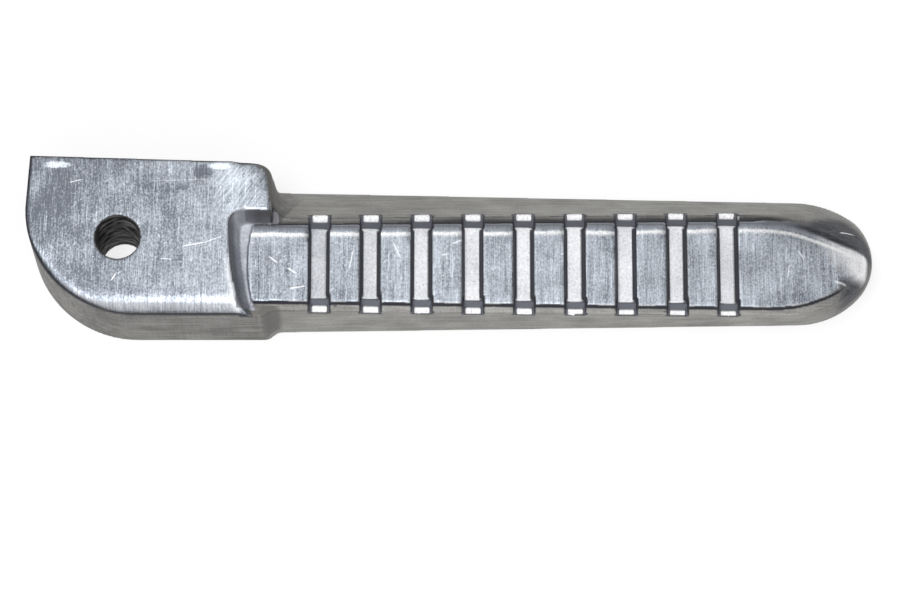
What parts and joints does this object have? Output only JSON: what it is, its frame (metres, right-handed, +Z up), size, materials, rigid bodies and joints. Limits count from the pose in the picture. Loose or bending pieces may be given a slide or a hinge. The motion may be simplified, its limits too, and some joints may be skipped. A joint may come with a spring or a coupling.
{
  "type": "motorcycle rear footrest",
  "caption": "Cast aluminium passenger footrest: a thick pivot lug with a pin bore and a tapering bar with a brushed, cross-grooved tread and stepped edge notches.",
  "frame": {"origin": "on the axis of the pivot bore, in the plane of the underside", "axes": "+Z up along the pivot bore towards the tread, +X along the bar to its tip, +Y towards the sloping side and the lug's square corner"},
  "size_m": [0.1562, 0.0302, 0.0176],
  "materials": {
    "cast_aluminium": "brushed lug face and tread, dull as-cast sides, frosted groove floors"
  },
  "bodies": {
    "root": {"footrest": "cast_aluminium"}
  },
  "joints": []
}
